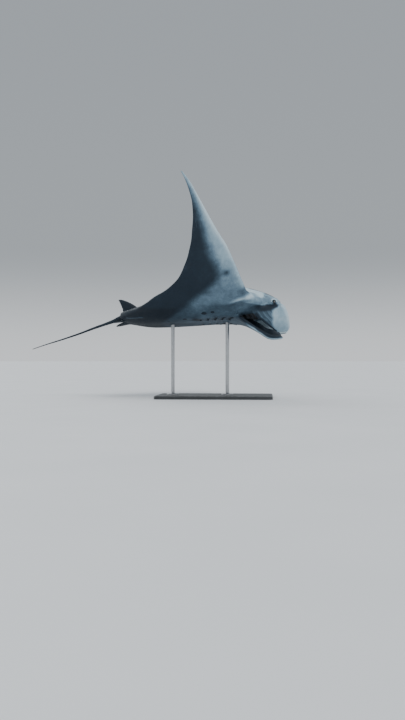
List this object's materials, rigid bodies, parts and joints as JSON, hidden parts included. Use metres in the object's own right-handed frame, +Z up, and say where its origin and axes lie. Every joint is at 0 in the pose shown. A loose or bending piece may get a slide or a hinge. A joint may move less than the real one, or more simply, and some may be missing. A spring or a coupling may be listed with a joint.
{
  "type": "manta ray model",
  "caption": "Life-size model of a giant oceanic manta ray with raised wings and open mouth, gliding on a plain base with two rods.",
  "frame": {"origin": "middle of the stand base's underside, on the floor", "axes": "+X towards the animal's head, +Y towards its left side, +Z up"},
  "size_m": [2.9294, 2.8165, 2.2714],
  "materials": {
    "skin": "satin wet-looking skin, dark slate above, pale below with a dark margin",
    "eye": "glossy dark eye",
    "stand_base": "satin dark paint",
    "stand_rod": "brushed round bar"
  },
  "bodies": {
    "root": {"head": "skin", "lower_jaw": "skin", "cephalic_lobe_right": "skin", "cephalic_lobe_left": "skin", "trunk_front": "skin", "trunk_middle": "skin", "trunk_rear": "skin", "wing_right_root": "skin", "wing_right_middle": "skin", "wing_right_tip": "skin", "wing_left_root": "skin", "wing_left_middle": "skin", "wing_left_tip": "skin", "pelvic_fin_right": "skin", "pelvic_fin_left": "skin", "dorsal_fin": "skin", "tail_base": "skin", "tail_front": "skin", "tail_middle": "skin", "tail_end": "skin", "eye_right": "eye", "eye_left": "eye", "stand_base": "stand_base", "stand_rod_front": "stand_rod", "stand_rod_rear": "stand_rod"}
  },
  "joints": []
}
